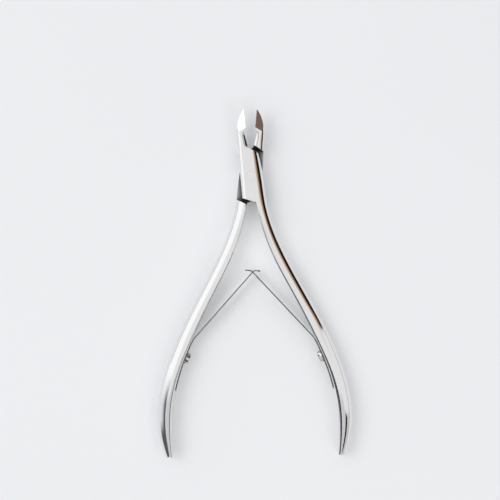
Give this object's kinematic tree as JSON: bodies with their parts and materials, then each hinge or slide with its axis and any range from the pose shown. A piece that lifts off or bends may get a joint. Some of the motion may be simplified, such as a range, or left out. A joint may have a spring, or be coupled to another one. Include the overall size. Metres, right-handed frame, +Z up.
{
  "type": "cuticle nipper",
  "caption": "Polished steel cuticle nipper with a riveted lap joint, pointed ground jaws, bowed handles and a two-leaf interlocking spring.",
  "frame": {"origin": "on the pivot's axis, on the plane that the nipper rests on", "axes": "+Z up along the pivot's axis, +Y towards the jaws, +X to the side of the upper half's handle"},
  "size_m": [0.0584, 0.1039, 0.007],
  "materials": {
    "polished_steel": "mirror-polished stainless steel with satin-ground blade facets",
    "spring_steel": "rolled spring strip, satin",
    "screw_steel": "turned and slotted, satin"
  },
  "bodies": {
    "lower_half": {"lower_half": "polished_steel", "pivot_rivet": "polished_steel", "left_spring_foot": "spring_steel", "left_spring_screw": "screw_steel"},
    "upper_half": {"upper_half": "polished_steel", "right_spring_foot": "spring_steel", "right_spring_screw": "screw_steel"},
    "left_spring": {"left_spring_leaf": "spring_steel"},
    "right_spring": {"right_spring_leaf": "spring_steel"}
  },
  "joints": [
    {"name": "pivot", "type": "hinge", "parent": "lower_half", "child": "upper_half", "pos_m": [0, 0, 0.0035], "axis": [0, 0, -1], "range_deg": [0, 11.4], "stiffness_Nm_per_rad": 1},
    {"name": "left_spring_flex", "type": "hinge", "parent": "lower_half", "child": "left_spring", "pos_m": [-0.0185, -0.04965, 0.0035], "axis": [0, 0, 1], "range_deg": [0, 7.5]},
    {"name": "right_spring_flex", "type": "hinge", "parent": "upper_half", "child": "right_spring", "pos_m": [0.0185, -0.04965, 0.0035], "axis": [0, 0, -1], "range_deg": [0, 7.5]}
  ],
  "couplings": [
    {"joint": "left_spring_flex", "follows": "pivot", "ratio": 0.64},
    {"joint": "right_spring_flex", "follows": "pivot", "ratio": 0.64}
  ]
}
